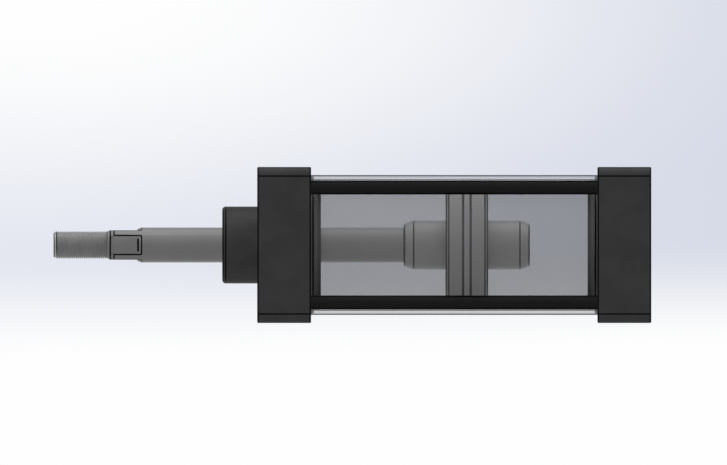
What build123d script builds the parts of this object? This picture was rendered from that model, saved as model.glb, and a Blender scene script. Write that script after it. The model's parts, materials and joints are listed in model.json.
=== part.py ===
# A double-acting pneumatic cylinder of the tie-rod kind, with a clear barrel and adjustable end cushions.
# Frame: X runs along the cylinder axis and the rod points to -X. The origin is on that axis, in the outer
# face of the front head, at the root of its pilot. +Z is up, towards the air ports. Lengths are in millimetres.

from build123d import *

import os
from math import radians, tan

# Bore, stroke and where the piston stands at rest
bore = 94.0
stroke = 160.0
rest_extension = 71.0

# Heads: two square blocks
head_side = 111.5
head_length = 38.5
head_corner_radius = 6.5
head_edge_chamfer = 0.6
spigot_length = 7.0
spigot_chamfer = 1.8
spigot_clearance = 0.2

# Barrel tube, held between the heads on a flat gasket at each end
tube_wall = 3.0
gasket_thickness = 0.8
gasket_clearance = 0.1

# Tie rods, with long hexagon nuts sunk in the corners of the heads
tie_rod_diameter = 10.0
tie_rod_spacing = 82.0
tie_rod_hole_clearance = 0.3
tie_rod_end_chamfer = 0.8
nut_across_flats = 16.0
nut_length = 24.0
nut_engagement = 9.0
nut_recess = 1.0
nut_end_clearance = 1.0
nut_chamfer = 0.9
mount_thread_diameter = 8.0
thread_clearance = 0.05
washer_thickness = 1.6
washer_diameter = 20.0
washer_clearance = 0.25
counterbore_diameter = 22.0

# Air ports and their passages
port_radius = 10.5
port_depth = 15.0
port_chamfer = 1.0
port_passage_radius = 4.0

# Cushion chambers and seals in the heads
cushion_chamber_diameter = 38.0
cushion_end_gap = 0.7
cushion_seal_wall = 4.5
cushion_seal_length = 5.0
cushion_seal_recess = 0.5
cushion_seal_clearance = 0.1
cushion_seal_lip = 1.2
cushion_seal_slots = 6
cushion_seal_slot_width = 3.0
cushion_seal_slot_depth = 0.8

# Rod gland, screwed into the front head. Its round front end is the cylinder's pilot.
pilot_diameter = 55.0
pilot_length = 25.0
pilot_edge_radius = 2.5
gland_thread_diameter = 46.0
gland_end_gap = 0.2
gland_end_chamfer = 1.0
gland_seal_section = 1.8
gland_seal_groove_width = 2.4
gland_seal_setback = 2.6
spanner_hole_diameter = 5.0
spanner_hole_depth = 6.0
spanner_hole_spacing = 43.2

# Rod bearing and rod seal in the gland
bushing_diameter = 30.0
bushing_length = 17.8
bushing_chamfer = 0.5
wiper_diameter = 36.0
wiper_length = 7.5
wiper_case_thickness = 1.5
wiper_lip_length = 1.8
wiper_relief = 1.6
running_clearance = 0.05
press_clearance = 0.02

# Piston rod
rod_diameter = 25.0
rod_body_length = 240.0
rod_thread_diameter = 20.0
rod_thread_length = 40.0
rod_tip_chamfer_length = 2.0
rod_tip_chamfer_depth = 1.5
rod_lead_length = 3.2
rod_lead_angle = 15.0
rod_flats_across = 21.0
rod_flats_length = 20.0
rod_flats_runout = 2.9
rod_flats_step = 1.0
rod_spigot_diameter = 20.0
rod_spigot_end = 12.0

# Piston, its seals and the screw that clamps the stack to the rod
piston_length = 30.5
piston_clearance = 0.5
piston_chamfer = 2.3
piston_seal_width = 6.0
piston_seal_thickness = 2.95
piston_groove_depth = 5.5
piston_groove_side_clearance = 0.1
energiser_clearance = 0.05
static_seal_section = 1.7
static_seal_groove_width = 2.3
stack_clearance = 0.03
screw_diameter = 12.0
screw_shank_length = 30.0
screw_head_diameter = 18.0
screw_head_height = 12.0
screw_socket_across = 10.0
screw_socket_depth = 6.0
screw_head_clearance = 0.2
screw_hole_clearance = 0.1
screw_hole_spare_depth = 4.0
plunger_web = 5.0
plunger_bore_gap = 0.5

# Cushion sleeve and cushion plunger, which stand off the two faces of the piston
cushion_diameter = 35.0
cushion_length = 29.8
cushion_nose_length = 7.1
cushion_nose_drop = 2.9
cushion_nose_crown = 0.4

# Cushion needle: a screw across from the port that throttles the last of the stroke
needle_offset = 22.0
needle_bore_radius = 5.0
needle_bore_floor = 36.0
needle_travel = 3.0
needle_body_length = 8.0
needle_clearance = 0.1
needle_stem_radius = 2.1
needle_tip_radius = 0.6
needle_cone_length = 4.0
needle_slot_width = 1.2
needle_slot_depth = 1.6
needle_top_chamfer = 0.5
needle_seat_radius = 1.75
needle_seat_depth = 6.5
needle_seal_section = 1.6
needle_seal_drop = 5.9
needle_groove_width = 1.9
bypass_height = 31.0
cross_passage_rise = 2.0
cross_passage_radius = 1.5
clip_thickness = 1.0
clip_depth = 1.2
clip_groove_depth = 0.2
clip_width = 1.5
clip_gap_width = 2.0
clip_ear_radius = 0.9
clip_ear_hole_radius = 0.45
clip_groove_side_clearance = 0.05
clip_needle_gap = 0.15

# Places along the axis that follow from the sizes above
barrel_gap = stroke + piston_length + 2 * spigot_length
rear_face = 2 * head_length + barrel_gap
spigot_face = head_length + spigot_length
piston_front = spigot_face + stroke - rest_extension
piston_rear = piston_front + piston_length
rod_shoulder = piston_front - rod_body_length
sleeve_tip = piston_front - cushion_length
plunger_tip = piston_rear + cushion_length
rod_end = piston_rear + rod_spigot_end
chamber_end = spigot_face - cushion_length - cushion_end_gap
gland_end = chamber_end - gland_end_gap
bushing_front = gland_end - bushing_length
cushion_seal_diameter = cushion_diameter + 2 * cushion_seal_wall
counterbore_depth = nut_recess + nut_length + washer_thickness
port_x = head_length / 2
head_top = head_side / 2
spigot_radius = bore / 2 - spigot_clearance
tube_radius = bore / 2 + tube_wall
tie_rod_places = [
    (y * tie_rod_spacing / 2, z * tie_rod_spacing / 2) for y in (-1, 1) for z in (1, -1)
]


def along_x(x_start, x_end, radius, y=0.0, z=0.0):
    """A plain cylinder parallel to the X axis."""
    middle = (x_start + x_end) / 2
    return Pos(middle, y, z) * Rot(0, 90, 0) * Cylinder(radius, x_end - x_start)


def upright(x, y, z_low, z_high, radius):
    """A plain cylinder parallel to the Z axis."""
    return Pos(x, y, (z_low + z_high) / 2) * Cylinder(radius, z_high - z_low)


def turned(*outline):
    """A solid turned about the X axis from a closed outline of (x, radius) points."""
    return revolve(make_face(Polyline(*outline, close=True)), Axis.X)


def ring(x_start, x_end, inner, outer):
    """A plain ring about the X axis."""
    return turned((x_start, inner), (x_end, inner), (x_end, outer), (x_start, outer))


def o_ring(x, y, z, centre_radius, section, upright_axis=False):
    """A round-section ring, about X or about a vertical axis."""
    turn = Rot(0, 0, 0) if upright_axis else Rot(0, 90, 0)
    return Pos(x, y, z) * turn * Torus(centre_radius, section / 2)


def to_rear(shape):
    """The mirror image of a piece of the front head, at its place on the rear head."""
    return Pos(rear_face, 0, 0) * mirror(shape, about=Plane.YZ)


# Heads


def head_block():
    """The square block of a head, with rounded long edges and a fine chamfer round both end faces."""
    block = Pos(port_x, 0, 0) * Box(head_length, head_side, head_side)
    block = fillet(block.edges().filter_by(Axis.X), head_corner_radius)
    ends = block.faces().filter_by(Axis.X)
    return chamfer(ends.edges(), head_edge_chamfer)


def spigot():
    """The round register that centres the tube."""
    return turned(
        (port_x, 0),
        (spigot_face, 0),
        (spigot_face, spigot_radius - spigot_chamfer),
        (spigot_face - spigot_chamfer, spigot_radius),
        (port_x, spigot_radius),
    )


def cushion_chamber():
    """The blind bore that the cushion enters, with the wider seat of the cushion seal at its mouth."""
    seal_seat = spigot_face - cushion_seal_length - cushion_seal_recess
    return turned(
        (chamber_end, 0),
        (spigot_face, 0),
        (spigot_face, cushion_seal_diameter / 2),
        (seal_seat, cushion_seal_diameter / 2),
        (seal_seat, cushion_chamber_diameter / 2),
        (chamber_end, cushion_chamber_diameter / 2),
    )


def port():
    """The air port: a tapped mouth with a chamfer, and the passage down to the cushion chamber."""
    mouth = upright(port_x, 0, head_top - port_depth, head_top, port_radius)
    lead = Pos(port_x, 0, head_top - port_chamfer / 2) * Cone(
        port_radius, port_radius + port_chamfer, port_chamfer
    )
    passage = upright(port_x, 0, cushion_chamber_diameter / 4, head_top - port_depth, port_passage_radius)
    return mouth + lead + passage


def needle_passages():
    """The bore of the cushion needle, its seat, the bypass from the barrel and the link to the port."""
    clip_floor = head_top - clip_depth - clip_thickness - clip_groove_side_clearance
    clip_roof = head_top - clip_depth + clip_groove_side_clearance
    cross_height = needle_bore_floor + cross_passage_rise
    cross = Pos(port_x, needle_offset / 2, cross_height) * Rot(90, 0, 0)
    return (
        upright(port_x, needle_offset, needle_bore_floor, head_top, needle_bore_radius)
        + upright(port_x, needle_offset, clip_floor, clip_roof, needle_bore_radius + clip_groove_depth)
        + upright(
            port_x, needle_offset, needle_bore_floor - needle_seat_depth, needle_bore_floor, needle_seat_radius
        )
        + along_x(port_x - needle_seat_radius, spigot_face, needle_seat_radius, needle_offset, bypass_height)
        + cross * Cylinder(cross_passage_radius, needle_offset)
    )


def tie_rod_holes():
    """Each corner's clearance hole, with the counterbore that takes the washer and the nut."""
    hole_radius = tie_rod_diameter / 2 + tie_rod_hole_clearance
    holes = Part()
    for y, z in tie_rod_places:
        holes += along_x(0, head_length, hole_radius, y, z)
        holes += along_x(0, counterbore_depth, counterbore_diameter / 2, y, z)
    return holes


def plain_head():
    """What the two heads share."""
    return head_block() + spigot() - cushion_chamber() - port() - needle_passages() - tie_rod_holes()


def front_head():
    """The plain head with the round hole that the rod gland is screwed into."""
    return plain_head() - along_x(0, chamber_end, gland_thread_diameter / 2 + thread_clearance)


# Rod gland, with its bearing and seals


def rod_gland():
    """The gland: a round pilot in front, a threaded part behind, bored in steps for the bushing and the seal."""
    thread = gland_thread_diameter / 2
    seal_middle = gland_end - gland_seal_setback
    groove_floor = thread - gland_seal_section + thread_clearance - running_clearance
    pilot = along_x(-pilot_length, 0, pilot_diameter / 2)
    pilot = fillet(pilot.edges().sort_by(Axis.X)[0], pilot_edge_radius)
    plug = turned(
        (-pilot_length / 2, 0),
        (gland_end, 0),
        (gland_end, thread - gland_end_chamfer),
        (gland_end - gland_end_chamfer, thread),
        (-pilot_length / 2, thread),
    )
    groove = ring(
        seal_middle - gland_seal_groove_width / 2,
        seal_middle + gland_seal_groove_width / 2,
        groove_floor,
        pilot_diameter / 2,
    )
    bore = along_x(bushing_front, gland_end, bushing_diameter / 2)
    recess = along_x(-pilot_length, bushing_front, wiper_diameter / 2)
    gland = pilot + plug - groove - bore - recess
    for side in (-1, 1):
        gland -= along_x(
            -pilot_length,
            spanner_hole_depth - pilot_length,
            spanner_hole_diameter / 2,
            side * spanner_hole_spacing / 2,
        )
    return gland


def rod_gland_seal():
    """The ring that seals the gland to the front head."""
    outer = gland_thread_diameter / 2 + thread_clearance - running_clearance / 2
    return o_ring(gland_end - gland_seal_setback, 0, 0, outer - gland_seal_section / 2, gland_seal_section)


def rod_bushing():
    """The bearing sleeve that guides the rod."""
    inner = rod_diameter / 2 + running_clearance
    outer = bushing_diameter / 2 - press_clearance
    return turned(
        (bushing_front, inner + bushing_chamfer),
        (bushing_front + bushing_chamfer, inner),
        (gland_end - bushing_chamfer, inner),
        (gland_end, inner + bushing_chamfer),
        (gland_end, outer),
        (bushing_front, outer),
    )


def rod_wiper_seal():
    """The combined rod seal and wiper: a case with one lip to keep dirt out and one to keep air in."""
    front = bushing_front - wiper_length
    lip = rod_diameter / 2 + running_clearance
    waist = lip + wiper_relief
    case = wiper_diameter / 2 - press_clearance
    return turned(
        (front, lip),
        (front + wiper_lip_length, waist),
        (bushing_front - wiper_lip_length, waist),
        (bushing_front, lip),
        (bushing_front, case),
        (front + wiper_case_thickness, case),
        (front + wiper_case_thickness, case - wiper_case_thickness),
        (front, lip + wiper_relief),
    )


def cushion_seal():
    """The seal that closes round the cushion, with slots in its face that let air back past it."""
    start = spigot_face - cushion_seal_length - cushion_seal_recess
    end = spigot_face - cushion_seal_recess
    inner = cushion_diameter / 2 + cushion_seal_clearance
    outer = cushion_seal_diameter / 2 - press_clearance
    seal = turned(
        (start, inner + cushion_seal_lip),
        (end - cushion_seal_lip, inner),
        (end, inner + cushion_seal_lip / 2),
        (end, outer),
        (start, outer),
    )
    slot = Pos(end, outer, 0) * Box(
        2 * cushion_seal_slot_depth, outer - inner - cushion_seal_lip, cushion_seal_slot_width
    )
    for n in range(cushion_seal_slots):
        seal -= Rot(360 / cushion_seal_slots * n, 0, 0) * slot
    return seal


# Barrel and tie rods


def tube_gasket():
    """The flat ring between a head and the end of the tube."""
    inner = spigot_radius + gasket_clearance
    return ring(head_length, head_length + gasket_thickness, inner, tube_radius)


def barrel_tube():
    """The clear tube that the piston runs in."""
    start = head_length + gasket_thickness
    return ring(start, rear_face - start, bore / 2, tube_radius)


def tie_rod(y, z):
    """One tie rod, from inside its front nut to inside its rear nut."""
    start = nut_recess + nut_length - nut_engagement
    radius = tie_rod_diameter / 2
    outline = [
        (start, 0),
        (start, radius - tie_rod_end_chamfer),
        (start + tie_rod_end_chamfer, radius),
        (rear_face - start - tie_rod_end_chamfer, radius),
        (rear_face - start, radius - tie_rod_end_chamfer),
        (rear_face - start, 0),
    ]
    return Pos(0, y, z) * turned(*outline)


def tie_rod_nut(y, z):
    """A long hexagon nut. The tie rod fills its inner end, and the outer end takes a bracket's screw."""
    outer = nut_recess
    inner = nut_recess + nut_length
    corner = nut_across_flats / 3**0.5
    prism = Plane.YZ.offset(outer) * RegularPolygon(nut_across_flats / 2, 6, major_radius=False)
    dome = turned(
        (outer, 0),
        (outer, corner - nut_chamfer),
        (outer + nut_chamfer / 2, corner),
        (inner - nut_chamfer / 2, corner),
        (inner, corner - nut_chamfer),
        (inner, 0),
    )
    step = inner - nut_engagement - nut_end_clearance
    rod_hole = along_x(step, inner, tie_rod_diameter / 2 + thread_clearance)
    screw_hole = along_x(outer, step, mount_thread_diameter / 2 + thread_clearance)
    nut = (extrude(prism, amount=nut_length) & dome) - rod_hole - screw_hole
    return Pos(0, y, z) * nut


def tie_rod_washer(y, z):
    """The washer between a nut and the floor of its counterbore."""
    inner = tie_rod_diameter / 2 + washer_clearance
    washer = ring(counterbore_depth - washer_thickness, counterbore_depth, inner, washer_diameter / 2)
    return Pos(0, y, z) * washer


# Cushion needles


def needle_top():
    """Height of the needle's slotted end at rest, half way along its travel."""
    clip_bottom = head_top - clip_depth - clip_thickness
    return clip_bottom - clip_needle_gap - needle_travel / 2


def cushion_needle():
    """The needle screw: slotted body with a seal groove, then a stem and a fine cone."""
    top = needle_top()
    body = needle_bore_radius - needle_clearance
    shoulder = top - needle_body_length
    tip = needle_bore_floor - needle_travel / 2
    groove_floor = body - needle_seal_section - running_clearance / 2
    groove_middle = top - needle_seal_drop
    outline = [
        (0, top),
        (body - needle_top_chamfer, top),
        (body, top - needle_top_chamfer),
        (body, shoulder),
        (needle_stem_radius, shoulder),
        (needle_stem_radius, tip + needle_cone_length),
        (needle_tip_radius, tip),
        (0, tip),
    ]
    profile = Plane.XZ * make_face(Polyline(*outline, close=True))
    needle = revolve(profile, Axis.Z)
    groove = Pos(0, 0, groove_middle) * (
        Cylinder(needle_bore_radius, needle_groove_width) - Cylinder(groove_floor, needle_groove_width)
    )
    slot = Pos(0, 0, top) * Box(2 * needle_bore_radius, needle_slot_width, 2 * needle_slot_depth)
    return Pos(port_x, needle_offset, 0) * (needle - groove - slot)


def needle_seal():
    """The ring in the needle's groove."""
    outer = needle_bore_radius - running_clearance
    height = needle_top() - needle_seal_drop
    return o_ring(
        port_x, needle_offset, height, outer - needle_seal_section / 2, needle_seal_section, upright_axis=True
    )


def needle_clip():
    """The open spring ring that keeps the needle from being screwed right out."""
    outer = needle_bore_radius + clip_groove_depth - press_clearance
    inner = outer - clip_width
    clip = Cylinder(outer, clip_thickness) - Cylinder(inner, clip_thickness)
    ear_reach = inner - clip_ear_radius / 3
    for side in (-1, 1):
        across = side * (clip_gap_width / 2 + clip_ear_radius)
        along = (ear_reach**2 - across**2) ** 0.5
        clip += Pos(across, along, 0) * Cylinder(clip_ear_radius, clip_thickness)
        clip -= Pos(across, along, 0) * Cylinder(clip_ear_hole_radius, clip_thickness)
    gap_length = 2 * (clip_width + 2 * clip_ear_radius)
    clip -= Pos(0, outer, 0) * Box(clip_gap_width, gap_length, clip_thickness)
    height = head_top - clip_depth - clip_thickness / 2
    return Pos(port_x, needle_offset, height) * clip


# Piston and rod


def wrench_flats():
    """What is milled off the rod for the four wrench flats. They end in a step and a cone up to full diameter."""
    radius = rod_diameter / 2
    step = rod_flats_across / 2 + rod_flats_step
    floor_end = rod_shoulder + rod_flats_length
    runout_end = floor_end + rod_flats_runout
    length = runout_end - rod_shoulder
    blank = along_x(rod_shoulder, runout_end, rod_diameter)
    square = Pos(rod_shoulder + length / 2, 0, 0) * Box(length, rod_flats_across, rod_flats_across)
    cone = turned((floor_end, 0), (floor_end, step), (runout_end, radius), (runout_end, 0))
    return blank - square - cone


def piston_rod():
    """Rod end thread, wrench flats, ground shank, and the spigot that carries the piston."""
    radius = rod_diameter / 2
    thread = rod_thread_diameter / 2
    tip = rod_shoulder - rod_thread_length
    lead = rod_lead_length * tan(radians(rod_lead_angle))
    spigot_part = rod_spigot_diameter / 2
    rod = turned(
        (tip, 0),
        (tip, thread - rod_tip_chamfer_depth),
        (tip + rod_tip_chamfer_length, thread),
        (rod_shoulder, thread),
        (rod_shoulder, radius - lead),
        (rod_shoulder + rod_lead_length, radius),
        (sleeve_tip, radius),
        (sleeve_tip, spigot_part),
        (rod_end, spigot_part),
        (rod_end, 0),
    )
    screw_tip = plunger_floor() - screw_shank_length
    tapped = along_x(screw_tip - screw_hole_spare_depth, rod_end, screw_diameter / 2 + thread_clearance)
    return rod - wrench_flats() - tapped


def piston():
    """The piston: one groove for the seal ring, one in the bore for the ring that seals it to the rod."""
    outer = bore / 2 - piston_clearance
    inner = rod_spigot_diameter / 2 + stack_clearance
    body = turned(
        (piston_front, inner),
        (piston_rear, inner),
        (piston_rear, outer - piston_chamfer),
        (piston_rear - piston_chamfer, outer),
        (piston_front + piston_chamfer, outer),
        (piston_front, outer - piston_chamfer),
    )
    middle = piston_front + piston_length / 2
    half_groove = piston_seal_width / 2 + piston_groove_side_clearance
    seal_groove = ring(middle - half_groove, middle + half_groove, outer - piston_groove_depth, bore)
    static_half = static_seal_groove_width / 2
    static_outer = inner + static_seal_section + stack_clearance
    static_groove = ring(middle - static_half, middle + static_half, 0, static_outer)
    return body - seal_groove - static_groove


def piston_seal_ring():
    """The sliding ring that runs on the tube."""
    middle = piston_front + piston_length / 2
    outer = bore / 2 - running_clearance
    half = piston_seal_width / 2
    return ring(middle - half, middle + half, outer - piston_seal_thickness, outer)


def piston_seal_energiser():
    """The round rubber ring under the sliding ring, which presses it outwards."""
    middle = piston_front + piston_length / 2
    floor = bore / 2 - piston_clearance - piston_groove_depth + energiser_clearance
    roof = bore / 2 - running_clearance - piston_seal_thickness - energiser_clearance
    return o_ring(middle, 0, 0, (floor + roof) / 2, roof - floor)


def piston_static_seal():
    """The ring between the piston's bore and the rod."""
    middle = piston_front + piston_length / 2
    centre = rod_spigot_diameter / 2 + stack_clearance + static_seal_section / 2
    return o_ring(middle, 0, 0, centre, static_seal_section)


def cushion_profile(inner_steps, face, tip):
    """A cushion turned from its root face to its tip: a straight barrel, then a tapered nose with crowned sides."""
    outer = cushion_diameter / 2
    way = 1 if tip > face else -1
    nose_start = (tip - way * cushion_nose_length, outer)
    nose_tip = (tip, outer - cushion_nose_drop)
    nose_middle = (tip - way * cushion_nose_length / 2, outer - cushion_nose_drop / 2 + cushion_nose_crown)
    nose = ThreePointArc(nose_start, nose_middle, nose_tip)
    rest = Polyline(nose_tip, *inner_steps, (face, outer), nose_start)
    return revolve(make_face(nose + rest), Axis.X)


def front_cushion_sleeve():
    """The sleeve on the rod side, clamped between the rod's step and the piston."""
    inner = rod_spigot_diameter / 2 + stack_clearance
    return cushion_profile([(sleeve_tip, inner), (piston_front, inner)], piston_front, sleeve_tip)


def plunger_floor():
    """Where the screw head bears inside the rear plunger."""
    return rod_end + plunger_bore_gap + plunger_web


def rear_cushion_plunger():
    """The plunger behind the piston, bored from one side for the rod and from the other for the screw."""
    bore_radius = rod_spigot_diameter / 2 + stack_clearance
    head_hole = screw_head_diameter / 2 + screw_head_clearance
    shank_hole = screw_diameter / 2 + screw_hole_clearance
    steps = [
        (plunger_tip, head_hole),
        (plunger_floor(), head_hole),
        (plunger_floor(), shank_hole),
        (rod_end + plunger_bore_gap, shank_hole),
        (rod_end + plunger_bore_gap, bore_radius),
        (piston_rear, bore_radius),
    ]
    return cushion_profile(steps, piston_rear, plunger_tip)


def piston_screw():
    """The socket head screw that clamps plunger, piston and sleeve against the rod's step."""
    floor = plunger_floor()
    shank = along_x(floor - screw_shank_length, floor, screw_diameter / 2)
    head = along_x(floor, floor + screw_head_height, screw_head_diameter / 2)
    socket_start = floor + screw_head_height - screw_socket_depth
    socket = Plane.YZ.offset(socket_start) * RegularPolygon(screw_socket_across / 2, 6, major_radius=False)
    return shank + head - extrude(socket, amount=screw_socket_depth)


def write(name, *solids):
    """Writes one node from one or more separate solids."""
    shape = solids[0] if len(solids) == 1 else Compound(children=list(solids))
    export_step(shape, f"parts/{name}.step")


def main():
    os.makedirs("parts", exist_ok=True)

    write("front_head", front_head())
    write("rear_head", to_rear(plain_head()))
    write("barrel_tube", barrel_tube())
    for number, place in enumerate(tie_rod_places, start=1):
        write(f"tie_rod_{number}", tie_rod(*place))

    nuts = [tie_rod_nut(*place) for place in tie_rod_places]
    washers = [tie_rod_washer(*place) for place in tie_rod_places]
    write("front_tie_rod_nuts", *nuts)
    write("rear_tie_rod_nuts", *[to_rear(nut) for nut in nuts])
    write("front_tie_rod_washers", *washers)
    write("rear_tie_rod_washers", *[to_rear(washer) for washer in washers])

    end_pieces = {
        "tube_gasket": tube_gasket(),
        "cushion_seal": cushion_seal(),
        "cushion_needle": cushion_needle(),
        "needle_seal": needle_seal(),
        "needle_clip": needle_clip(),
    }
    for name, piece in end_pieces.items():
        write(f"front_{name}", piece)
        write(f"rear_{name}", to_rear(piece))

    write("rod_gland", rod_gland())
    write("rod_gland_seal", rod_gland_seal())
    write("rod_bushing", rod_bushing())
    write("rod_wiper_seal", rod_wiper_seal())

    write("piston_rod", piston_rod())
    write("piston", piston())
    write("piston_seal_ring", piston_seal_ring())
    write("piston_seal_energiser", piston_seal_energiser())
    write("piston_static_seal", piston_static_seal())
    write("front_cushion_sleeve", front_cushion_sleeve())
    write("rear_cushion_plunger", rear_cushion_plunger())
    write("piston_screw", piston_screw())


main()
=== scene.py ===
# Looks of the tie-rod air cylinder: materials, threads, light, backdrop and camera.
# Lengths are in metres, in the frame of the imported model: X along the cylinder axis, rod to -X, ports up.

import json
from math import cos, pi, radians, sin

import bmesh
import bpy
from mathutils import Matrix, Vector


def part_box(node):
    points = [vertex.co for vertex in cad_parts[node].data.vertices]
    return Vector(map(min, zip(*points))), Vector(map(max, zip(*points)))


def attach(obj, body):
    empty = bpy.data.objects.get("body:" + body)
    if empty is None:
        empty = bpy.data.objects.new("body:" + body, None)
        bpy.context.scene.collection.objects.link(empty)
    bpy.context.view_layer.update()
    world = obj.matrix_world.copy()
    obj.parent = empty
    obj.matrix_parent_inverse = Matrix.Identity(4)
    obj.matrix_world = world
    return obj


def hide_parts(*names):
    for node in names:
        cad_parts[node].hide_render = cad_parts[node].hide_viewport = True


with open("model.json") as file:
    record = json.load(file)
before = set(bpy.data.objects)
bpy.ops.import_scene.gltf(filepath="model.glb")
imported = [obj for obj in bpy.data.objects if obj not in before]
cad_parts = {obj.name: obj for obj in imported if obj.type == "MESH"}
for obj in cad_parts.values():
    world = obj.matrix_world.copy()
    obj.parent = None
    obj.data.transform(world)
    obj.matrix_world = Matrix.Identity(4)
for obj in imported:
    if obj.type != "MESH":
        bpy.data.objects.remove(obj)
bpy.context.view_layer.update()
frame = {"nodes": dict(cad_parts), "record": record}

nodes = frame["nodes"]

# The photograph's frame: its width in pixels and in metres, the model's origin in it, and its centre
IMAGE_WIDTH = 727
VIEW_WIDTH = 0.5193
METRES_PER_PIXEL = VIEW_WIDTH / IMAGE_WIDTH
ORIGIN_PIXEL = (257.0, 244.5)
IMAGE_CENTRE = (363.3, 232.0)


def pixel_to_world(x, y):
    """The place in the plane of the axis that a pixel of the photograph's frame shows."""
    right, down = x - ORIGIN_PIXEL[0], y - ORIGIN_PIXEL[1]
    return Vector((right * METRES_PER_PIXEL, 0.0, -down * METRES_PER_PIXEL))


def linear(value):
    """A display value of 0 to 255 as linear light, by the sRGB curve."""
    share = value / 255
    return share / 12.92 if share <= 0.04045 else ((share + 0.055) / 1.055) ** 2.4


def display(red, green=None, blue=None):
    """A colour given as display values, as Blender's linear values. One value alone is a grey."""
    values = (red, red if green is None else green, red if blue is None else blue)
    return (*[linear(value) for value in values], 1.0)


def put_in_scene(name, data):
    """A new object that holds the data."""
    piece = bpy.data.objects.new(name, data)
    bpy.context.scene.collection.objects.link(piece)
    return piece


# Node helpers

# How wide and how dark the painted shade lines at edges and creases are, and how far inside an end face one
# lies to leave the face clear
LINE_WIDTH = 0.0011
SHADE_LINE_COLOUR = display(4)
LINE_INSET = 0.0006

# The reach of a softened edge, and between which cosines it passes from open face to edge
EDGE_WIDTH = 0.0008
EDGE_SAMPLES = 16
EDGE_COSINES = (0.999, 0.985)

# The values that noise seldom leaves, and the middle part of them
NOISE_RANGE = (0.3, 0.7)
NOISE_MIDDLE = (0.35, 0.65)


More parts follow.
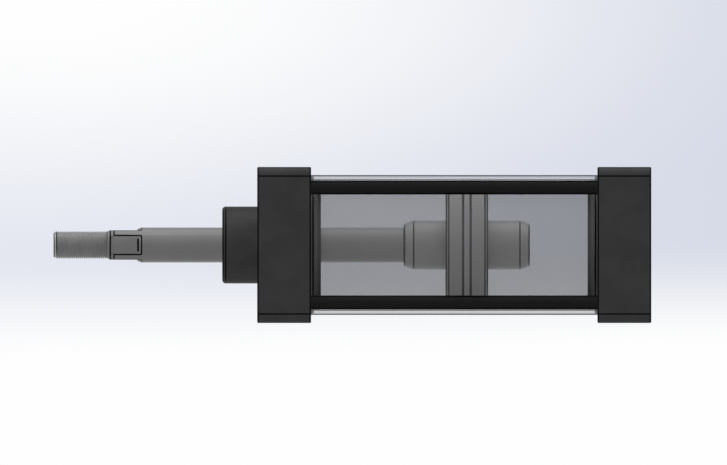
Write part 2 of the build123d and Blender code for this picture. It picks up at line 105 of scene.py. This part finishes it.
class Finish:
    """One procedural material: a Principled shader and short ways to add the nodes that feed it."""

    def __init__(self, name, colour, roughness, metallic=0.0, rim=1.0):
        self.material = bpy.data.materials.new(name)
        self.material.use_nodes = True
        self.tree = self.material.node_tree
        self.shader = self.tree.nodes["Principled BSDF"]
        self.shader.inputs["Base Color"].default_value = colour
        self.shader.inputs["Roughness"].default_value = roughness
        self.shader.inputs["Metallic"].default_value = metallic
        self.shader.inputs["Specular Tint"].default_value = (rim, rim, rim, 1.0)
        self.colour = colour
        self.roughness = roughness
        self.place = self.add("ShaderNodeTexCoord").outputs["Object"]
        split = self.add("ShaderNodeSeparateXYZ")
        self.feed(split.inputs[0], self.place)
        self.axes = split.outputs

    def add(self, kind, **settings):
        """A new node with its own settings."""
        node = self.tree.nodes.new(kind)
        for key, value in settings.items():
            setattr(node, key, value)
        return node

    def feed(self, socket, value):
        """Links an output to a socket, or sets a plain value on it."""
        if isinstance(value, bpy.types.NodeSocket):
            self.tree.links.new(value, socket)
        else:
            socket.default_value = value

    def maths(self, operation, *values):
        """The result of one step of arithmetic."""
        node = self.add("ShaderNodeMath", operation=operation)
        for socket, value in zip(node.inputs, values):
            self.feed(socket, value)
        return node.outputs[0]

    def hypotenuse(self, first, second):
        """The long side over two square ones."""
        squares = self.maths("MULTIPLY", first, first), self.maths("MULTIPLY", second, second)
        return self.maths("SQRT", self.maths("ADD", *squares))

    def span(self, value, low, high, to_low=0.0, to_high=1.0, smooth=False):
        """A value brought from one range to another, and held at its ends."""
        node = self.add("ShaderNodeMapRange", interpolation_type="SMOOTHSTEP" if smooth else "LINEAR")
        for socket, number in zip(node.inputs, (value, low, high, to_low, to_high)):
            self.feed(socket, number)
        return node.outputs[0]

    def mixed(self, factor, first, second):
        """One colour over another."""
        node = self.add("ShaderNodeMix", data_type="RGBA")
        self.feed(node.inputs[0], factor)
        colours = [socket for socket in node.inputs if socket.type == "RGBA"]
        for socket, colour in zip(colours, (first, second)):
            self.feed(socket, colour)
        return next(socket for socket in node.outputs if socket.type == "RGBA")

    def noise(self, per_metre, detail=2.0, stretch=(1, 1, 1)):
        """Noise with so many features in a metre, drawn out along an axis where stretch is below 1."""
        scaled = self.add("ShaderNodeVectorMath", operation="MULTIPLY")
        self.feed(scaled.inputs[0], self.place)
        scaled.inputs[1].default_value = stretch
        node = self.add("ShaderNodeTexNoise")
        self.feed(node.inputs["Vector"], scaled.outputs[0])
        node.inputs["Scale"].default_value = per_metre
        node.inputs["Detail"].default_value = detail
        return node.outputs["Fac"]

    def turning_marks(self, per_metre):
        """Fine rings about the X axis, on barrels and on end faces alike."""
        radius = self.hypotenuse(self.axes["Y"], self.axes["Z"])
        node = self.add("ShaderNodeTexNoise", noise_dimensions="1D")
        self.feed(node.inputs["W"], self.maths("ADD", self.axes["X"], radius))
        node.inputs["Scale"].default_value = per_metre
        node.inputs["Detail"].default_value = 3.0
        return node.outputs["Fac"]

    def bump(self, height, depth):
        """Raises the surface by up to depth metres where height is 1."""
        node = self.add("ShaderNodeBump")
        node.inputs["Distance"].default_value = depth
        self.feed(node.inputs["Height"], height)
        self.feed(self.shader.inputs["Normal"], node.outputs[0])

    def edge_shade_mask(self):
        """1 near sharp edges, 0 on open faces. It places painted shade lines at the rod's edges."""
        rounded = self.add("ShaderNodeBevel", samples=EDGE_SAMPLES)
        rounded.inputs["Radius"].default_value = EDGE_WIDTH
        plain = self.add("ShaderNodeNewGeometry")
        product = self.add("ShaderNodeVectorMath", operation="DOT_PRODUCT")
        self.feed(product.inputs[0], rounded.outputs[0])
        self.feed(product.inputs[1], plain.outputs["Normal"])
        return self.span(product.outputs["Value"], *EDGE_COSINES)

    def line_mask(self, axis, places):
        """1 on thin lines square to an axis, at the given places along it."""
        mask = 0.0
        for place in places:
            distance = self.maths("ABSOLUTE", self.maths("SUBTRACT", self.axes[axis], place))
            mask = self.maths("MAXIMUM", mask, self.maths("LESS_THAN", distance, LINE_WIDTH / 2))
        return mask

    def square_mask(self, side, place):
        """1 on the eight lines along X that lie so far from the middle on each side of a square bar."""
        mask = 0.0
        for across, along in (("Y", "Z"), ("Z", "Y")):
            outward = self.maths("ABSOLUTE", self.axes[across])
            on_side = self.maths("GREATER_THAN", outward, side - LINE_WIDTH / 2)
            line = self.maths("MULTIPLY", on_side, self.line_mask(along, (-place, place)))
            mask = self.maths("MAXIMUM", mask, line)
        return mask

    def stretch_mask(self, low, high):
        """1 between two places along X."""
        above = self.maths("GREATER_THAN", self.axes["X"], low)
        return self.maths("MULTIPLY", above, self.maths("LESS_THAN", self.axes["X"], high))

    def set_colour(self, socket):
        """Makes an output the colour, and keeps it so that lines can go over it."""
        self.base = socket
        self.feed(self.shader.inputs["Base Color"], socket)

    def vary_colour(self, factor, amount):
        """Lets the colour run from darker to lighter by a share of itself as factor goes from 0 to 1."""
        dark = tuple(c * (1 - amount) for c in self.colour[:3]) + (1.0,)
        light = tuple(c * (1 + amount) for c in self.colour[:3]) + (1.0,)
        self.set_colour(self.mixed(factor, dark, light))

    def paint_shade_lines(self, mask):
        """Paints dark shade lines over the colour where mask is 1: painted shade at edges and creases."""
        self.set_colour(self.mixed(mask, self.base, SHADE_LINE_COLOUR))

    def vary_roughness(self, factor, amount):
        """Lets the roughness run from smoother to rougher by the amount as noise goes through its range."""
        low, high = self.roughness - amount, self.roughness + amount
        self.feed(self.shader.inputs["Roughness"], self.span(factor, *NOISE_RANGE, low, high))


# Where the painted shade lines lie

HEAD_LENGTH = 0.0385
HEAD_CORNER_RADIUS = 0.0065
SPIGOT_CHAMFER = 0.0018
PILOT_EDGE_RADIUS = 0.0025
NOSE_LENGTH = 0.0071
PISTON_CHAMFER = 0.0023
ROD_HALF = 0.0125
ROD_SHOULDER_X = -0.1055
ROD_TIP_CHAMFER = 0.002
ROD_LEAD_LENGTH = 0.0032
ROD_FLATS_LENGTH = 0.020
ROD_FLATS_HALF = 0.0105
ROD_FLATS_STEP = 0.001
ROD_FLATS_RUNOUT = 0.0029


def ends(node, inset=LINE_INSET):
    """The places along X that lie so far inside the two ends of a piece."""
    low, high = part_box(node)
    return low.x + inset, high.x - inset


def head_creases():
    """Both ends of each head's block, both edges of the chamfer on its spigot, and both of the pilot's
    rounding."""
    block_end = HEAD_LENGTH - LINE_INSET
    return (
        *(ends("rod_gland", inset)[0] for inset in (LINE_INSET, PILOT_EDGE_RADIUS)),
        *(ends("front_head", inset)[0] for inset in (LINE_INSET, block_end)),
        *(ends("front_head", inset)[1] for inset in (LINE_INSET, SPIGOT_CHAMFER)),
        *(ends("rear_head", inset)[0] for inset in (LINE_INSET, SPIGOT_CHAMFER)),
        *(ends("rear_head", inset)[1] for inset in (LINE_INSET, block_end)),
    )


def rod_creases():
    """Both edges of the chamfer at the rod's tip, and the shoulder."""
    return ends("piston_rod")[0], ends("piston_rod", ROD_TIP_CHAMFER)[0], ROD_SHOULDER_X + LINE_INSET


def flats_mask(finish):
    """1 along the edges of the wrench flats, and of the lead and the run-out at their two ends."""
    lead_end = ROD_SHOULDER_X + ROD_LEAD_LENGTH
    floor_end = ROD_SHOULDER_X + ROD_FLATS_LENGTH
    runout_end = floor_end + ROD_FLATS_RUNOUT
    half_width = (ROD_HALF**2 - ROD_FLATS_HALF**2) ** 0.5
    step_half_width = ((ROD_FLATS_HALF + ROD_FLATS_STEP) ** 2 - ROD_FLATS_HALF**2) ** 0.5
    from_middle = finish.maths("MINIMUM", *[finish.maths("ABSOLUTE", finish.axes[axis]) for axis in "YZ"])
    on_step = finish.maths("LESS_THAN", from_middle, step_half_width)
    on_flat = finish.maths("LESS_THAN", from_middle, half_width)
    on_corner = finish.maths("GREATER_THAN", from_middle, half_width)
    lines = (
        (finish.square_mask(ROD_FLATS_HALF, half_width), finish.stretch_mask(lead_end, runout_end)),
        (on_step, finish.line_mask("X", (floor_end + LINE_INSET,))),
        (on_flat, finish.line_mask("X", (runout_end,))),
        (on_corner, finish.line_mask("X", (lead_end,))),
    )
    mask = 0.0
    for across, along in lines:
        mask = finish.maths("MAXIMUM", mask, finish.maths("MULTIPLY", across, along))
    return mask


# Materials, one short function each


def anodised(name, outlined=True):
    """Dark grey anodised aluminium over a fine blasted grain."""
    finish = Finish(name, display(51), roughness=0.42, metallic=0.85, rim=0.5)
    finish.vary_colour(finish.span(finish.noise(60), *NOISE_MIDDLE), amount=0.07)
    if outlined:
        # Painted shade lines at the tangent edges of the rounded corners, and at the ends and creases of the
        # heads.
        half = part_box("front_head")[1].z
        finish.paint_shade_lines(finish.square_mask(half, half - HEAD_CORNER_RADIUS))
        finish.paint_shade_lines(finish.line_mask("X", head_creases()))
    finish.vary_roughness(finish.noise(220), amount=0.05)
    finish.bump(finish.noise(2600, detail=3.0), depth=0.000012)
    return finish


def drawn_steel(name):
    """Black oxide over steel drawn along its length."""
    finish = Finish(name, display(27), roughness=0.42, metallic=1.0, rim=0.3)
    grooves = finish.noise(1800, stretch=(0.02, 1, 1))
    finish.vary_colour(grooves, amount=0.15)
    finish.vary_roughness(finish.noise(150), amount=0.06)
    finish.bump(grooves, depth=0.00001)
    return finish


def ground_chrome(name, shade=105, outlined=True):
    """Hard chrome with the faint rings of grinding. A thread's edges get no painted shade lines, as they would
    crowd.
    """
    finish = Finish(name, display(shade), roughness=0.34, metallic=0.9)
    rings = finish.turning_marks(2600)
    finish.vary_colour(finish.span(finish.noise(35), *NOISE_MIDDLE), amount=0.03)
    if outlined:
        # Painted shade lines at the rod's edges, at its tip chamfer and shoulder, and along its wrench flats.
        finish.paint_shade_lines(finish.edge_shade_mask())
        finish.paint_shade_lines(finish.line_mask("X", rod_creases()))
        finish.paint_shade_lines(flats_mask(finish))
    finish.vary_roughness(rings, amount=0.05)
    finish.bump(rings, depth=0.000006)
    return finish


def turned_metal(name, creases):
    """Metal off the lathe, with its tool marks, and a painted shade line at each crease along the axis."""
    finish = Finish(name, display(115), roughness=0.38, metallic=0.9)
    rings = finish.turning_marks(1500)
    finish.vary_colour(rings, amount=0.06)
    finish.paint_shade_lines(finish.line_mask("X", creases))
    finish.vary_roughness(finish.noise(150), amount=0.04)
    finish.bump(rings, depth=0.00001)
    return finish


# How much of what is behind it each surface of the tube covers: face on, along its wall and at its sawn ends
TUBE_COVER_FACE_ON = 0.25
TUBE_COVER_ALONG = 0.97
TUBE_COVER_SAWN = 0.9

# The slants, 0 face on and 1 side on, over which the cover grows and over which the painted dark rim comes in
TUBE_COVER_SLANTS = (0.74, 0.85)
TUBE_PAINTED_RIM_SLANTS = (0.82, 0.85)


def clear_tube(name):
    """Smoke-grey polished tube. Each of its surfaces takes away part of what is behind it. Its sawn ends carry
    painted shade lines, and where its wall is seen side on a painted dark rim stands in for the shade of
    refraction."""
    finish = Finish(name, display(121, 121, 124), roughness=0.12, rim=0.0)
    finish.shader.inputs["Specular IOR Level"].default_value = 0.15
    layers = finish.add("ShaderNodeLayerWeight")
    layers.inputs["Blend"].default_value = 0.5
    slant = layers.outputs["Facing"]
    sawn = finish.line_mask("X", ends("barrel_tube"))
    painted_dark_rim = finish.span(slant, *TUBE_PAINTED_RIM_SLANTS)

    finish.vary_colour(finish.span(finish.noise(20), *NOISE_RANGE), amount=0.02)
    # Painted shade lines on the sawn ends, and a painted dark rim, made metallic so that it reflects little,
    # where the wall is seen side on.
    finish.paint_shade_lines(sawn)
    finish.paint_shade_lines(painted_dark_rim)
    finish.feed(finish.shader.inputs["Metallic"], painted_dark_rim)
    wall_cover = finish.span(slant, *TUBE_COVER_SLANTS, TUBE_COVER_FACE_ON, TUBE_COVER_ALONG, smooth=True)
    cover = finish.maths("MAXIMUM", wall_cover, finish.maths("MULTIPLY", sawn, TUBE_COVER_SAWN))
    finish.feed(finish.shader.inputs["Alpha"], cover)
    finish.vary_roughness(finish.noise(60), amount=0.01)
    return finish


def rubber(name, shade=30):
    """Black seal rubber."""
    finish = Finish(name, display(shade), roughness=0.6)
    finish.vary_colour(finish.noise(400), amount=0.12)
    finish.vary_roughness(finish.noise(900), amount=0.08)
    finish.bump(finish.noise(3000), depth=0.00001)
    return finish


def zinc(name):
    """Bright zinc plate with its faint mottling."""
    finish = Finish(name, display(170, 173, 178), roughness=0.34, metallic=1.0)
    spots = finish.noise(260, detail=4.0)
    finish.vary_colour(finish.span(spots, *NOISE_MIDDLE), amount=0.08)
    finish.vary_roughness(spots, amount=0.07)
    finish.bump(finish.noise(1200), depth=0.000008)
    return finish


def sintered_bronze(name):
    """Oily sintered bronze with open pores."""
    finish = Finish(name, display(170, 125, 78), roughness=0.45, metallic=0.9)
    pores = finish.span(finish.noise(3200, detail=3.0), 0.36, 0.46)
    finish.vary_colour(pores, amount=0.25)
    finish.vary_roughness(finish.noise(400), amount=0.08)
    finish.bump(pores, depth=0.00002)
    return finish


def brass(name):
    """Turned brass, with its marks about the vertical axis."""
    finish = Finish(name, display(188, 152, 86), roughness=0.3, metallic=1.0)
    rings = finish.noise(2500, stretch=(0.05, 0.05, 1))
    finish.vary_colour(rings, amount=0.06)
    finish.vary_roughness(finish.noise(500), amount=0.06)
    finish.bump(rings, depth=0.000008)
    return finish


def black_steel(name, shade, roughness):
    """Phosphated or black oxide steel."""
    finish = Finish(name, display(shade), roughness, metallic=0.7)
    spots = finish.noise(900, detail=3.0)
    finish.vary_colour(spots, amount=0.2)
    finish.vary_roughness(spots, amount=0.08)
    finish.bump(finish.noise(2400), depth=0.000012)
    return finish


def graphite_ring(name):
    """Graphite filled slide ring, cut on a lathe, with a painted shade line at both ends."""
    finish = Finish(name, display(119, 119, 120), roughness=0.42, metallic=0.7)
    rings = finish.turning_marks(1800)
    finish.vary_colour(rings, amount=0.08)
    finish.paint_shade_lines(finish.line_mask("X", ends("piston_seal_ring")))
    finish.vary_roughness(finish.noise(500), amount=0.06)
    finish.bump(rings, depth=0.00001)
    return finish


finishes = {
    "heads": anodised("heads"),
    "barrel": clear_tube("barrel"),
    "gaskets": rubber("gaskets"),
    "tie_rods": drawn_steel("tie_rods"),
    "nuts": zinc("nuts"),
    "washers": zinc("washers"),
    "bushing": sintered_bronze("bushing"),
    "rod_seal": rubber("rod_seal", shade=34),
    "cushion_seals": rubber("cushion_seals", shade=34),
    "clips": black_steel("clips", shade=62, roughness=0.5),
    "needles": brass("needles"),
    "o_rings": rubber("o_rings", shade=26),
    "piston_seal": graphite_ring("piston_seal"),
    "rod": ground_chrome("rod"),
    # The thread's chrome is painted lighter than the rod's, to make up for the shade between its ridges.
    "rod_thread": ground_chrome("rod_thread", shade=150, outlined=False),
    "rod_runout": ground_chrome("rod_runout", outlined=False),
    "port_threads": anodised("port_threads", outlined=False),
    "piston": turned_metal("piston", creases=(
        *ends("piston"), *ends("piston", PISTON_CHAMFER), *ends("piston_seal_ring", 0),
    )),
    "cushions": turned_metal("cushions", creases=(
        ends("front_cushion_sleeve")[0],
        ends("front_cushion_sleeve", NOSE_LENGTH)[0],
        ends("rear_cushion_plunger", NOSE_LENGTH)[1],
        ends("rear_cushion_plunger")[1],
    )),
    "piston_screw": black_steel("piston_screw", shade=46, roughness=0.4),
}

for subpart in frame["record"]["subparts"]:
    piece = nodes[subpart["node"]]
    piece.data.materials.clear()
    piece.data.materials.append(finishes[subpart["material_slot"]].material)

# What is inside the tube is lit as if the tube weren't there. Metal doesn't reflect its dark neighbours.
tube = nodes["barrel_tube"]
tube.visible_shadow = False
tube.visible_diffuse = False
tie_rods = [f"tie_rod_{number}" for number in range(1, 5)]
for name in ("barrel_tube", "front_head", "rear_head", "rod_gland", *tie_rods):
    nodes[name].visible_glossy = False


# Threads

# Faces that meet at less than this are smooth together
SHARP_ANGLE = radians(11)

# Steps in a full turn, of turned shells and of threads
TURN_STEPS = 96
THREAD_STEPS = 48

# How far a ridge stands out at the least, and how far its root lies under the surface that carries it
LEAST_RIDGE = 0.00002
THREAD_SINK = 0.00005


def new_piece(name, bm, finish, body):
    """A shown object from a finished mesh, with smooth curved faces, riding on a body."""
    bmesh.ops.recalc_face_normals(bm, faces=bm.faces)
    mesh = bpy.data.meshes.new(name)
    bm.to_mesh(mesh)
    bm.free()
    mesh.shade_smooth()
    mesh.set_sharp_from_angle(angle=SHARP_ANGLE)
    mesh.materials.append(finish.material)
    piece = put_in_scene(name, mesh)
    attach(piece, body)
    return piece


def add_strip(bm, sections):
    """Joins closed loops of points one after the other into a shell, with a face over each end."""
    loops = [[bm.verts.new(point) for point in section] for section in sections]
    for first, second in zip(loops, loops[1:]):
        for i in range(len(first)):
            j = (i + 1) % len(first)
            bm.faces.new((first[i], first[j], second[j], second[i]))
    bm.faces.new(loops[0])
    bm.faces.new(reversed(loops[-1]))


def add_turned(bm, outline):
    """A closed shell turned about the X axis, from points of place along the axis and radius."""
    angles = [2 * pi * step / TURN_STEPS for step in range(TURN_STEPS)]
    add_strip(bm, [
        [(x, radius * cos(angle), radius * sin(angle)) for angle in angles]
        for x, radius in outline
    ])


def add_thread(bm, place, root, crest, pitch, low, high, limit=None):
    """A closed helical ridge about the Z axis of place, from height low to high, with a crest an eighth of the
    pitch wide between flanks at 60 degrees. It rises from its root radius to its crest radius in the first
    half turn, and sinks again in the last. limit gives the greatest crest radius at a height."""
    half_crest = pitch / 16
    half_root = half_crest + abs(crest - root) / 3**0.5
    steps = int((high - low) / pitch * THREAD_STEPS)
    sections = []
    for step in range(steps + 1):
        angle = 2 * pi * step / THREAD_STEPS
        middle = low + pitch * step / THREAD_STEPS
        rise = min(1.0, (step + 1) / (THREAD_STEPS / 2), (steps + 1 - step) / (THREAD_STEPS / 2))
        top = root + (crest - root) * rise
        if limit is not None:
            top = min(top, max(limit(middle), root + LEAST_RIDGE))
        section = ((-half_root, root), (-half_crest, top), (half_crest, top), (half_root, root))
        sections.append([
            place @ Vector((radius * cos(angle), radius * sin(angle), middle + offset))
            for offset, radius in section
        ])
    add_strip(bm, sections)


# The rod end: M20 x 1.5, with its chamfered tip, a centre hole and a run-out at the shoulder
ROD_TIP_X = ends("piston_rod", 0)[0]
ROD_THREAD_RADIUS = 0.010
ROD_CORE_RADIUS = 0.00908
ROD_THREAD_PITCH = 0.0015
ROD_TIP_RADIUS = 0.0085
ROD_THREAD_RUNOUT = 0.0022
CENTRE_HOLE_RADIUS = 0.0026
CENTRE_HOLE_DEPTH = 0.0045
PILOT_HOLE_RADIUS = 0.00125

# Points nearer than this are one, and a face this far before the shoulder belongs to the plain end
WELD_DISTANCE = 1e-6
SHOULDER_MARGIN = 1e-5


def rod_end_limit(height):
    """The greatest radius that the tip's chamfer leaves at a height above the tip."""
    share = height / ROD_TIP_CHAMFER
    return ROD_TIP_RADIUS + (ROD_THREAD_RADIUS - ROD_TIP_RADIUS) * share


def rod_without_end():
    """The piston rod's mesh as it is in the frame, closed at the shoulder."""
    bm = bmesh.new()
    bm.from_mesh(nodes["piston_rod"].data)
    bmesh.ops.remove_doubles(bm, verts=bm.verts, dist=WELD_DISTANCE)
    end_faces = [face for face in bm.faces if face.calc_center_median().x < ROD_SHOULDER_X - SHOULDER_MARGIN]
    bmesh.ops.delete(bm, geom=end_faces, context="FACES")
    bmesh.ops.holes_fill(bm, edges=[edge for edge in bm.edges if edge.is_boundary], sides=0)
    return bm


def threaded_rod():
    """The piston rod with a real thread on its end."""
    bm = rod_without_end()
    core_start = ROD_TIP_CHAMFER * (ROD_CORE_RADIUS - ROD_TIP_RADIUS) / (ROD_THREAD_RADIUS - ROD_TIP_RADIUS)
    countersink_depth = (CENTRE_HOLE_RADIUS - PILOT_HOLE_RADIUS) * 3**0.5
    add_turned(bm, [
        (ROD_TIP_X + CENTRE_HOLE_DEPTH, PILOT_HOLE_RADIUS / 4),
        (ROD_TIP_X + CENTRE_HOLE_DEPTH - PILOT_HOLE_RADIUS / 2, PILOT_HOLE_RADIUS),
        (ROD_TIP_X + countersink_depth, PILOT_HOLE_RADIUS),
        (ROD_TIP_X, CENTRE_HOLE_RADIUS),
        (ROD_TIP_X, ROD_TIP_RADIUS),
        (ROD_TIP_X + core_start, ROD_CORE_RADIUS),
        (ROD_SHOULDER_X - ROD_THREAD_RUNOUT, ROD_CORE_RADIUS),
        (ROD_SHOULDER_X - ROD_THREAD_RUNOUT / 2, ROD_THREAD_RADIUS),
        (ROD_SHOULDER_X + THREAD_SINK, ROD_THREAD_RADIUS),
    ])

    place = Matrix.Translation((ROD_TIP_X, 0, 0)) @ Matrix.Rotation(pi / 2, 4, "Y")
    low = core_start + ROD_THREAD_PITCH / 3
    high = ROD_SHOULDER_X - ROD_THREAD_RUNOUT / 2 - ROD_TIP_X
    root = ROD_CORE_RADIUS - THREAD_SINK
    add_thread(bm, place, root, ROD_THREAD_RADIUS, ROD_THREAD_PITCH, low, high, rod_end_limit)

    # The thread and the run-out have finishes of their own, the thread's painted lighter to make up for the
    # shade between its ridges, and the tip keeps the rod's with its painted shade lines
    for face in bm.faces:
        x = face.calc_center_median().x
        if ROD_TIP_X + ROD_TIP_CHAMFER + LINE_WIDTH / 2 < x < ROD_SHOULDER_X:
            face.material_index = 1 if x < ROD_SHOULDER_X - ROD_THREAD_RUNOUT else 2
    piece = new_piece("threaded_rod", bm, finishes["rod"], "rod_assembly")
    for name in ("rod_thread", "rod_runout"):
        piece.data.materials.append(finishes[name].material)
    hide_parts("piston_rod")


# Ports: G 1/2. Nuts: M8 in their outer ends.
PORT_RADIUS = 0.0105
PORT_CREST_RADIUS = 0.00935
PORT_PITCH = 0.001814
PORT_THREAD_TOP = 0.0012
PORT_THREAD_DEPTH = 0.0145
PORT_FROM_END = 0.01925
NUT_RADIUS = 0.00405
NUT_CREST_RADIUS = 0.00332
NUT_PITCH = 0.00125
NUT_THREAD_START = 0.0012
NUT_THREAD_LENGTH = 0.0125
TIE_ROD_PLACE = 0.041


def port_thread(name, x):
    """The thread inside an air port, about the vertical axis at x."""
    bm = bmesh.new()
    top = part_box("front_head")[1].z
    place = Matrix.Translation((x, 0, top - PORT_THREAD_DEPTH))
    low, high = PORT_PITCH / 2, PORT_THREAD_DEPTH - PORT_THREAD_TOP
    add_thread(bm, place, PORT_RADIUS + THREAD_SINK, PORT_CREST_RADIUS, PORT_PITCH, low, high)
    new_piece(name, bm, finishes["port_threads"], "cylinder_body")


def nut_threads(name, x, way):
    """The threads in the outer ends of the four nuts of a head. way is the direction into the nuts."""
    bm = bmesh.new()
    turn = Matrix.Rotation(way * pi / 2, 4, "Y")
    for y in (-TIE_ROD_PLACE, TIE_ROD_PLACE):
        for z in (-TIE_ROD_PLACE, TIE_ROD_PLACE):
            place = Matrix.Translation((x, y, z)) @ turn
            low, high = NUT_THREAD_START, NUT_THREAD_LENGTH
            add_thread(bm, place, NUT_RADIUS + THREAD_SINK, NUT_CREST_RADIUS, NUT_PITCH, low, high)
    new_piece(name, bm, finishes["nuts"], "cylinder_body")


threaded_rod()
port_thread("front_port_thread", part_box("front_head")[0].x + PORT_FROM_END)
port_thread("rear_port_thread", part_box("rear_head")[1].x - PORT_FROM_END)
nut_threads("front_nut_threads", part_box("front_tie_rod_nuts")[0].x, 1)
nut_threads("rear_nut_threads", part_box("rear_tie_rod_nuts")[1].x, -1)


# Stage: floor, backdrop, world, lamp and camera

# Where the object stands, half the side of floor and backdrop, and how far behind the object the backdrop is
FLOOR_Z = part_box("front_head")[0].z
STAGE_HALF = 4.0
BACKDROP_Y = 2.5

# The backdrop's pale field: its upper left corner and its reach from there in pixels, the shares of that reach
# between which it comes up, the rows between which it fades in from the bottom, and the slope of those rows
FIELD_CORNER = (50, 0)
FIELD_REACH = (470, 165)
FIELD_GROWTH = (0.1, 1.75)
FIELD_ROWS = (360, 245)
FIELD_TILT = 0.02

# The world's level in diffuse light, how much brighter than 1 reflections get, and the way they are brightest
DIFFUSE_LEVEL = 0.85
DOME_RISE = 0.77
BRIGHT_WAY = (0.0, 0.6, 0.8)

LAMP_PLACE = (0.08, 0.45, 1.2)
LAMP_TARGET = (0.08, 0.0, 0.0)
LAMP_SIZE = (2.4, 2.0)
LAMP_POWER = 5
CAMERA_DISTANCE = 2.0


def stage_plane(name, corners, material):
    """A flat rectangle that isn't part of the object."""
    mesh = bpy.data.meshes.new(name)
    mesh.from_pydata(corners, [], [(0, 1, 2, 3)])
    mesh.materials.append(material)
    plane = put_in_scene(name, mesh)
    return plane


def ray_kind(tree, *names):
    """1 for a ray of any of the named kinds, else 0."""
    path = tree.nodes.new("ShaderNodeLightPath")
    found = path.outputs[names[0]]
    for name in names[1:]:
        largest = tree.nodes.new("ShaderNodeMath")
        largest.operation = "MAXIMUM"
        tree.links.new(found, largest.inputs[0])
        tree.links.new(path.outputs[name], largest.inputs[1])
        found = largest.outputs[0]
    return found


def map_range(tree, value, at_zero, at_one):
    """A node that gives one value or output at 0 and another at 1."""
    node = tree.nodes.new("ShaderNodeMapRange")
    tree.links.new(value, node.inputs["Value"])
    for name, end in (("To Min", at_zero), ("To Max", at_one)):
        if isinstance(end, bpy.types.NodeSocket):
            tree.links.new(end, node.inputs[name])
        else:
            node.inputs[name].default_value = end
    return node


def floor_material():
    """Pale and matt, with the object's shadow. Metal and glass reflect it as plain white."""
    finish = Finish("floor", display(236, 236, 239), roughness=0.9)
    finish.vary_colour(finish.noise(2), amount=0.01)
    glow = finish.add("ShaderNodeEmission")
    choice = finish.add("ShaderNodeMixShader")
    finish.feed(choice.inputs[0], ray_kind(finish.tree, "Is Glossy Ray", "Is Transmission Ray"))
    finish.feed(choice.inputs[1], finish.shader.outputs[0])
    finish.feed(choice.inputs[2], glow.outputs[0])
    finish.feed(finish.tree.nodes["Material Output"].inputs["Surface"], choice.outputs[0])
    return finish.material


def backdrop_material():
    """White, with a broad pale lavender field that fades out to the upper left and to the bottom."""
    white = display(254)
    finish = Finish("backdrop", white, roughness=1.0)
    x, z = finish.axes["X"], finish.axes["Z"]

    corner = pixel_to_world(*FIELD_CORNER)
    reach_x, reach_z = [pixels * METRES_PER_PIXEL for pixels in FIELD_REACH]
    across = finish.maths("DIVIDE", finish.maths("SUBTRACT", x, corner.x), reach_x)
    down = finish.maths("DIVIDE", finish.maths("SUBTRACT", corner.z, z), reach_z)
    upper = finish.span(finish.hypotenuse(across, down), *FIELD_GROWTH, smooth=True)
    height = finish.maths("SUBTRACT", z, finish.maths("MULTIPLY", x, FIELD_TILT))
    lower = finish.span(height, *[pixel_to_world(0, row).z for row in FIELD_ROWS], smooth=True)
    field = finish.maths("MULTIPLY", upper, lower)

    left, right = pixel_to_world(0, 0).x, pixel_to_world(IMAGE_WIDTH, 0).x
    lavender = finish.mixed(finish.span(x, left, right), display(227, 230, 240), display(215, 219, 231))
    glow = finish.add("ShaderNodeEmission")
    finish.feed(glow.inputs["Color"], finish.mixed(field, white, lavender))
    finish.feed(finish.tree.nodes["Material Output"].inputs["Surface"], glow.outputs[0])
    return finish.material


def make_stage():
    """Floor and backdrop. Neither throws diffuse light on the object. That keeps dark faces behind the tube
    free of speckle."""
    half = STAGE_HALF
    square = ((-half, -half), (half, -half), (half, half), (-half, half))
    floor = stage_plane("floor", [(x, y, FLOOR_Z) for x, y in square], floor_material())
    floor.visible_diffuse = False
    backdrop = stage_plane("backdrop", [(x, BACKDROP_Y, z) for x, z in square], backdrop_material())
    backdrop.visible_diffuse = False
    backdrop.visible_shadow = False


def make_world():
    """White for the eye, a plain level for diffuse light, and brighter in reflections towards the top and
    back."""
    world = bpy.data.worlds.new("studio")
    world.use_nodes = True
    tree = world.node_tree
    along = tree.nodes.new("ShaderNodeVectorMath")
    along.operation = "DOT_PRODUCT"
    tree.links.new(tree.nodes.new("ShaderNodeTexCoord").outputs["Generated"], along.inputs[0])
    along.inputs[1].default_value = BRIGHT_WAY
    dome = map_range(tree, along.outputs["Value"], 1.0, 1.0 + DOME_RISE)
    dome.inputs["From Min"].default_value = -BRIGHT_WAY[1]
    reflected = ray_kind(tree, "Is Glossy Ray", "Is Transmission Ray")
    lit = map_range(tree, reflected, DIFFUSE_LEVEL, dome.outputs[0])
    level = map_range(tree, ray_kind(tree, "Is Camera Ray"), lit.outputs[0], 1.0)
    background = tree.nodes["Background"]
    background.inputs["Color"].default_value = (1.0, 1.0, 1.0, 1.0)
    tree.links.new(level.outputs[0], background.inputs["Strength"])
    bpy.context.scene.world = world


def make_lamp():
    """One large soft lamp overhead, a little behind the object."""
    data = bpy.data.lights.new("overhead", "AREA")
    data.shape = "RECTANGLE"
    data.size, data.size_y = LAMP_SIZE
    data.energy = LAMP_POWER
    lamp = put_in_scene("overhead", data)
    lamp.location = LAMP_PLACE
    way = Vector(LAMP_TARGET) - Vector(LAMP_PLACE)
    lamp.rotation_euler = way.to_track_quat("-Z", "Y").to_euler()


def make_camera():
    """Square in front of the object and without perspective, like the photograph."""
    data = bpy.data.cameras.new("camera")
    data.type = "ORTHO"
    data.ortho_scale = VIEW_WIDTH
    camera = put_in_scene("camera", data)
    camera.location = pixel_to_world(*IMAGE_CENTRE) + Vector((0, -CAMERA_DISTANCE, 0))
    camera.rotation_euler = (pi / 2, 0, 0)
    bpy.context.scene.camera = camera


make_stage()
make_world()
make_lamp()
make_camera()
bpy.context.scene.view_settings.view_transform = "Standard"
